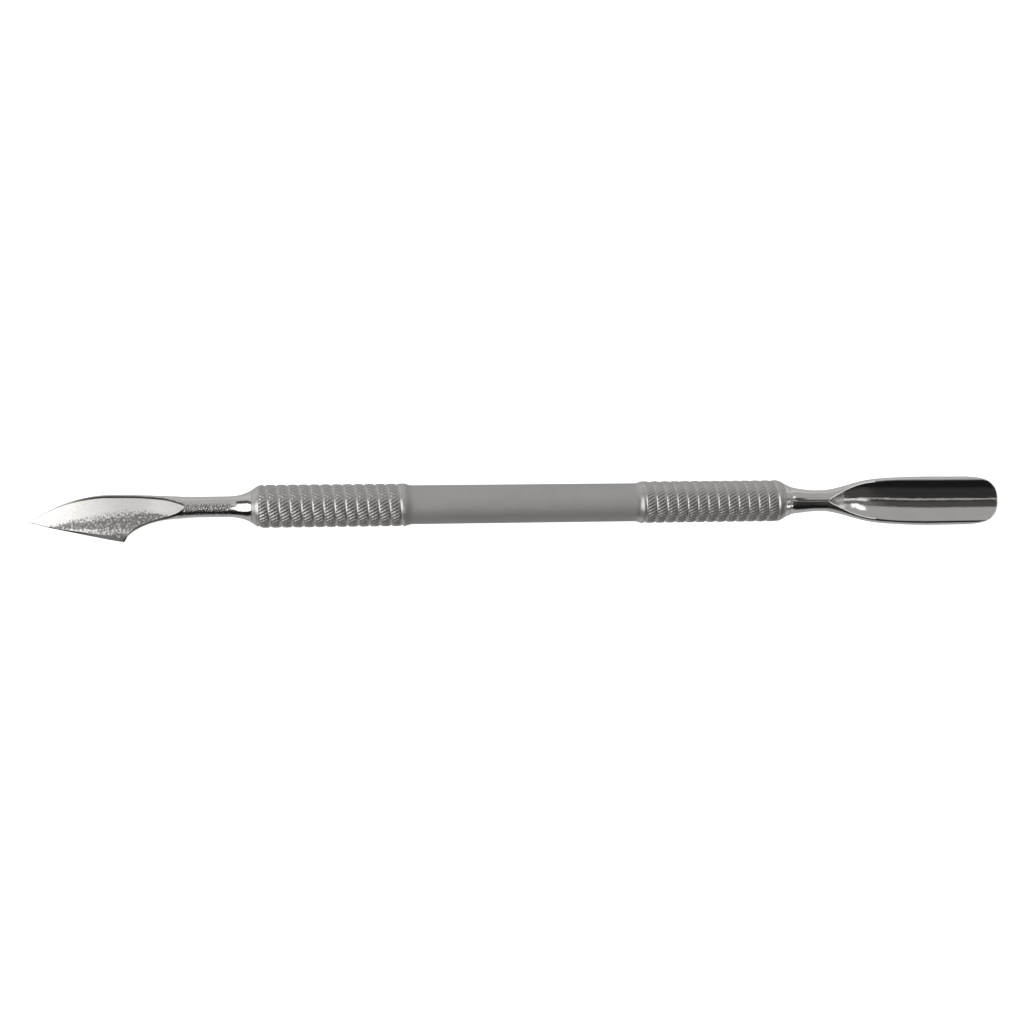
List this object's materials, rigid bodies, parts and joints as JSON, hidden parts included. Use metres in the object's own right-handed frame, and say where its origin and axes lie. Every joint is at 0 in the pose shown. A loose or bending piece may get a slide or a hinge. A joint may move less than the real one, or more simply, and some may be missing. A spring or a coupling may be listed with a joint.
{
  "type": "cuticle pusher",
  "caption": "Double-ended metal manicure tool: hollow-ground trough pusher at one end, pointed bevelled cuticle knife at the other, on a round bar handle with screw-grooved knurled grips.",
  "frame": {"origin": "on the handle bar's axis, midway between its two end faces", "axes": "+X along the bar towards the pusher, +Y towards the knife's spine, +Z out of the pusher's hollow and the knife's ground face"},
  "size_m": [0.1401, 0.0081, 0.0074],
  "materials": {
    "satin_steel": "bead-blasted satin stainless steel",
    "polished_steel": "polished stainless steel with a ground satin blade face",
    "braze_alloy": "silver brazing alloy, satin"
  },
  "bodies": {
    "root": {"handle_bar": "satin_steel", "pusher_end": "polished_steel", "knife_end": "polished_steel", "pusher_end_braze": "braze_alloy", "knife_end_braze": "braze_alloy"}
  },
  "joints": []
}
